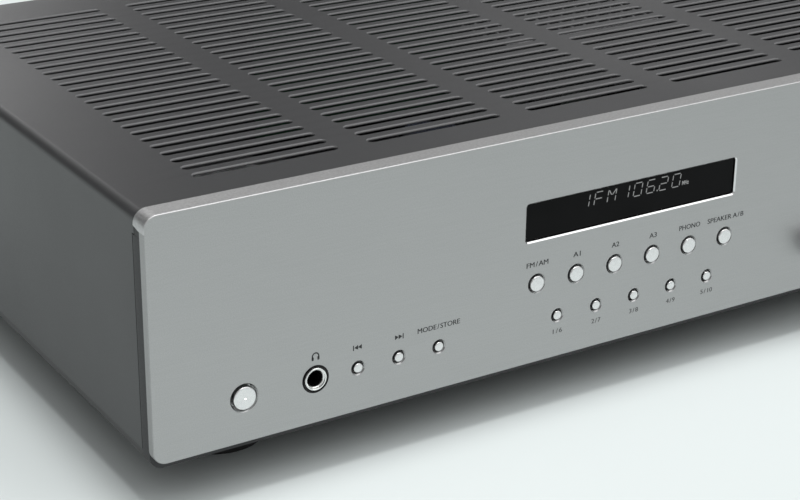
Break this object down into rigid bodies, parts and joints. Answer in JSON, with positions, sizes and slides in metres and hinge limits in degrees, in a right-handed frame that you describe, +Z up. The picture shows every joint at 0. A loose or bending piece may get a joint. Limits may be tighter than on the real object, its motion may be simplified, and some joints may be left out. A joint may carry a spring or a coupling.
{
  "type": "stereo receiver",
  "caption": "Full-width stereo receiver: slotted steel cover, metal fascia with push buttons, knobs and a display window, and sockets and terminals at the rear.",
  "frame": {"origin": "on the surface that the feet stand on, under the middle of the overall box", "axes": "+X to the right along the front as seen from in front, +Y from the front to the rear, +Z up"},
  "size_m": [0.43, 0.34, 0.12],
  "materials": {
    "cover_paint": "fine satin anthracite paint",
    "fascia_aluminium": "satin, fine grain along the front",
    "frame_plastic": "satin dark grey",
    "zinc_steel": "zinc plated",
    "window_acrylic": "polished black",
    "display_glass": "glass",
    "button_metal": "bright satin",
    "knob_metal": "turned satin",
    "jack_plastic": "moulded",
    "circuit_board": "solder mask",
    "transformer_tape": "wound black polyester tape",
    "sink_aluminium": "extruded, plain",
    "capacitor_sleeve": "shrink sleeve",
    "nickel_plate": "nickel plated",
    "socket_plastic": "moulded",
    "foot_rubber": "matt",
    "cap_black": "moulded",
    "cap_red": "moulded"
  },
  "bodies": {
    "chassis": {"top_cover": "cover_paint", "rear_panel": "cover_paint", "front_fascia": "fascia_aluminium", "front_subframe": "frame_plastic", "base_pan": "cover_paint", "display_window": "window_acrylic", "display_module": "display_glass", "volume_control": "nickel_plate", "tone_board": "circuit_board", "control_board": "circuit_board", "headphone_jack": "jack_plastic", "transformer": "transformer_tape", "transformer_clamp": "zinc_steel", "heat_sink": "sink_aluminium", "output_transistor_left": "jack_plastic", "output_transistor_right": "jack_plastic", "reservoir_capacitor_front": "capacitor_sleeve", "reservoir_capacitor_rear": "capacitor_sleeve", "amplifier_board": "circuit_board", "input_board": "circuit_board", "tuner_module": "nickel_plate", "line_input_sockets": "socket_plastic", "output_sockets": "socket_plastic", "fm_aerial_socket": "nickel_plate", "am_aerial_terminals": "socket_plastic", "speaker_terminal_block": "socket_plastic", "mains_inlet": "socket_plastic", "mains_switch": "socket_plastic", "foot_front_left": "foot_rubber", "foot_front_right": "foot_rubber", "foot_rear_left": "foot_rubber", "foot_rear_right": "foot_rubber"},
    "source_button_1": {"source_button_1": "button_metal"},
    "source_button_2": {"source_button_2": "button_metal"},
    "source_button_3": {"source_button_3": "button_metal"},
    "source_button_4": {"source_button_4": "button_metal"},
    "source_button_5": {"source_button_5": "button_metal"},
    "source_button_6": {"source_button_6": "button_metal"},
    "preset_button_1": {"preset_button_1": "button_metal"},
    "preset_button_2": {"preset_button_2": "button_metal"},
    "preset_button_3": {"preset_button_3": "button_metal"},
    "preset_button_4": {"preset_button_4": "button_metal"},
    "preset_button_5": {"preset_button_5": "button_metal"},
    "skip_back_button": {"skip_back_button": "button_metal"},
    "skip_forward_button": {"skip_forward_button": "button_metal"},
    "mode_button": {"mode_button": "button_metal"},
    "power_button": {"power_button": "button_metal"},
    "bass_knob": {"bass_knob": "knob_metal"},
    "treble_knob": {"treble_knob": "knob_metal"},
    "balance_knob": {"balance_knob": "knob_metal"},
    "volume_knob": {"volume_knob": "knob_metal"},
    "binding_cap_1": {"binding_cap_1": "cap_black"},
    "binding_cap_2": {"binding_cap_2": "cap_black"},
    "binding_cap_3": {"binding_cap_3": "cap_black"},
    "binding_cap_4": {"binding_cap_4": "cap_black"},
    "binding_cap_5": {"binding_cap_5": "cap_red"},
    "binding_cap_6": {"binding_cap_6": "cap_red"},
    "binding_cap_7": {"binding_cap_7": "cap_red"},
    "binding_cap_8": {"binding_cap_8": "cap_red"},
    "mains_rocker": {"mains_rocker": "jack_plastic"}
  },
  "joints": [
    {"name": "source_1_press", "type": "slide", "parent": "chassis", "child": "source_button_1", "axis": [0, 1, 0], "range_m": [0, 0.0012], "stiffness_N_per_m": 500},
    {"name": "source_2_press", "type": "slide", "parent": "chassis", "child": "source_button_2", "axis": [0, 1, 0], "range_m": [0, 0.0012], "stiffness_N_per_m": 500},
    {"name": "source_3_press", "type": "slide", "parent": "chassis", "child": "source_button_3", "axis": [0, 1, 0], "range_m": [0, 0.0012], "stiffness_N_per_m": 500},
    {"name": "source_4_press", "type": "slide", "parent": "chassis", "child": "source_button_4", "axis": [0, 1, 0], "range_m": [0, 0.0012], "stiffness_N_per_m": 500},
    {"name": "source_5_press", "type": "slide", "parent": "chassis", "child": "source_button_5", "axis": [0, 1, 0], "range_m": [0, 0.0012], "stiffness_N_per_m": 500},
    {"name": "source_6_press", "type": "slide", "parent": "chassis", "child": "source_button_6", "axis": [0, 1, 0], "range_m": [0, 0.0012], "stiffness_N_per_m": 500},
    {"name": "preset_1_press", "type": "slide", "parent": "chassis", "child": "preset_button_1", "axis": [0, 1, 0], "range_m": [0, 0.0012], "stiffness_N_per_m": 500},
    {"name": "preset_2_press", "type": "slide", "parent": "chassis", "child": "preset_button_2", "axis": [0, 1, 0], "range_m": [0, 0.0012], "stiffness_N_per_m": 500},
    {"name": "preset_3_press", "type": "slide", "parent": "chassis", "child": "preset_button_3", "axis": [0, 1, 0], "range_m": [0, 0.0012], "stiffness_N_per_m": 500},
    {"name": "preset_4_press", "type": "slide", "parent": "chassis", "child": "preset_button_4", "axis": [0, 1, 0], "range_m": [0, 0.0012], "stiffness_N_per_m": 500},
    {"name": "preset_5_press", "type": "slide", "parent": "chassis", "child": "preset_button_5", "axis": [0, 1, 0], "range_m": [0, 0.0012], "stiffness_N_per_m": 500},
    {"name": "skip_back_press", "type": "slide", "parent": "chassis", "child": "skip_back_button", "axis": [0, 1, 0], "range_m": [0, 0.0012], "stiffness_N_per_m": 500},
    {"name": "skip_forward_press", "type": "slide", "parent": "chassis", "child": "skip_forward_button", "axis": [0, 1, 0], "range_m": [0, 0.0012], "stiffness_N_per_m": 500},
    {"name": "mode_press", "type": "slide", "parent": "chassis", "child": "mode_button", "axis": [0, 1, 0], "range_m": [0, 0.0012], "stiffness_N_per_m": 500},
    {"name": "power_press", "type": "slide", "parent": "chassis", "child": "power_button", "axis": [0, 1, 0], "range_m": [0, 0.0012], "stiffness_N_per_m": 500},
    {"name": "bass_turn", "type": "hinge", "parent": "chassis", "child": "bass_knob", "pos_m": [0.11, -0.155, 0.0404], "axis": [0, 1, 0], "range_deg": [-150, 150]},
    {"name": "treble_turn", "type": "hinge", "parent": "chassis", "child": "treble_knob", "pos_m": [0.13, -0.155, 0.0404], "axis": [0, 1, 0], "range_deg": [-150, 150]},
    {"name": "balance_turn", "type": "hinge", "parent": "chassis", "child": "balance_knob", "pos_m": [0.15, -0.155, 0.0404], "axis": [0, 1, 0], "range_deg": [-150, 150]},
    {"name": "volume_turn", "type": "hinge", "parent": "chassis", "child": "volume_knob", "pos_m": [0.169, -0.155, 0.0798], "axis": [0, 1, 0], "range_deg": [-150, 150]},
    {"name": "cap_1_unscrew", "type": "slide", "parent": "chassis", "child": "binding_cap_1", "axis": [0, 1, 0], "range_m": [0, 0.004]},
    {"name": "cap_2_unscrew", "type": "slide", "parent": "chassis", "child": "binding_cap_2", "axis": [0, 1, 0], "range_m": [0, 0.004]},
    {"name": "cap_3_unscrew", "type": "slide", "parent": "chassis", "child": "binding_cap_3", "axis": [0, 1, 0], "range_m": [0, 0.004]},
    {"name": "cap_4_unscrew", "type": "slide", "parent": "chassis", "child": "binding_cap_4", "axis": [0, 1, 0], "range_m": [0, 0.004]},
    {"name": "cap_5_unscrew", "type": "slide", "parent": "chassis", "child": "binding_cap_5", "axis": [0, 1, 0], "range_m": [0, 0.004]},
    {"name": "cap_6_unscrew", "type": "slide", "parent": "chassis", "child": "binding_cap_6", "axis": [0, 1, 0], "range_m": [0, 0.004]},
    {"name": "cap_7_unscrew", "type": "slide", "parent": "chassis", "child": "binding_cap_7", "axis": [0, 1, 0], "range_m": [0, 0.004]},
    {"name": "cap_8_unscrew", "type": "slide", "parent": "chassis", "child": "binding_cap_8", "axis": [0, 1, 0], "range_m": [0, 0.004]},
    {"name": "rocker_switch", "type": "hinge", "parent": "chassis", "child": "mains_rocker", "pos_m": [-0.184, 0.1385, 0.088], "axis": [1, 0, 0], "range_deg": [-16, 0]}
  ]
}
